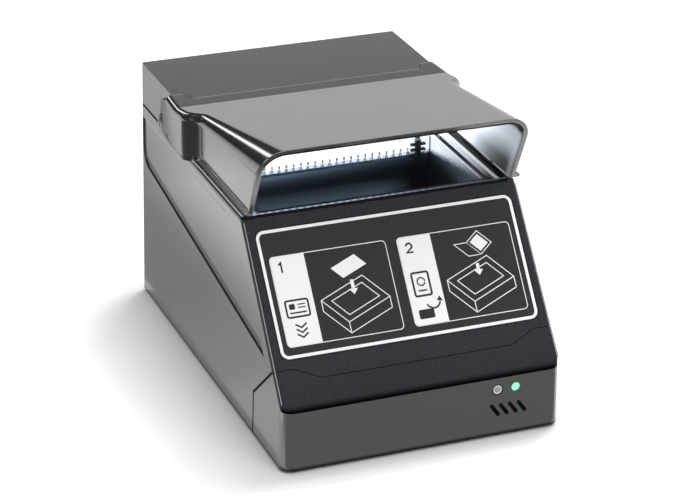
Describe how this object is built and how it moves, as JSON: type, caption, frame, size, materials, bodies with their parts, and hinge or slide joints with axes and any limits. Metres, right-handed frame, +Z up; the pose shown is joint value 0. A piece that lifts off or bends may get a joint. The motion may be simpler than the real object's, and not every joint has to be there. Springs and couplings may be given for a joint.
{
  "type": "passport reader",
  "caption": "Desk-top document reader: wedge-shaped case with a glass scan window under a folding light hood.",
  "frame": {"origin": "middle of the footprint, on the surface that the feet stand on", "axes": "+Z up, -Y towards the user, +X to the user's right"},
  "size_m": [0.1774, 0.262, 0.1772],
  "materials": {
    "case_paint": "satin grey lacquer with a fine grain",
    "head_paint": "darker satin grey lacquer",
    "black_grain": "black plastic with a leather grain",
    "black_matt": "matt black plastic",
    "label_print": "printed film, dark ground with pale pictures",
    "clear_glass": "clear polished glass",
    "mirror_face": "silvered",
    "steel": "plain steel",
    "dark_steel": "blackened steel",
    "board_green": "green circuit board",
    "board_white": "white circuit board with small lamps",
    "rubber": "matt black rubber",
    "lamp_grey": "frosted grey plastic",
    "lamp_green": "lit green plastic"
  },
  "bodies": {
    "base": {"base_tray": "black_matt", "body_shell": "case_paint", "rear_panel": "case_paint", "rear_head_cover": "head_paint", "front_bumper": "case_paint", "chin_panel": "black_grain", "slope_panel": "black_grain", "instruction_label": "label_print", "scan_glass": "clear_glass", "glass_gasket": "rubber", "glass_frame": "black_matt", "optical_chamber": "black_matt", "rear_led_board": "board_white", "front_led_board": "board_white", "led_clip_left": "black_matt", "led_clip_right": "black_matt", "mirror": "mirror_face", "mirror_bracket": "steel", "camera_bracket": "steel", "camera_board": "board_green", "lens_barrel": "black_matt", "camera_lens": "clear_glass", "main_board": "board_green", "usb_socket": "steel", "power_socket": "steel", "antenna_board": "board_green", "indicator_board": "board_green", "status_lamp_idle": "lamp_grey", "status_lamp_ready": "lamp_green", "sounder": "black_matt", "foot_front_left": "rubber", "foot_front_right": "rubber", "foot_rear_left": "rubber", "foot_rear_right": "rubber", "base_screw_front_left": "steel", "base_screw_front_right": "steel", "base_screw_rear_left": "steel", "base_screw_rear_right": "steel", "head_screw_left": "steel", "head_screw_right": "steel", "rating_plate": "lamp_grey", "hinge_screw_left": "dark_steel", "hinge_screw_right": "dark_steel"},
    "hood": {"hood_shell": "case_paint", "hinge_bush_left": "black_matt", "hinge_bush_right": "black_matt", "hood_pad_left": "rubber", "hood_pad_right": "rubber"}
  },
  "joints": [
    {"name": "hood_hinge", "type": "hinge", "parent": "base", "child": "hood", "pos_m": [0, 0.0785, 0.1371], "axis": [-1, 0, 0], "range_deg": [0, 70]}
  ]
}
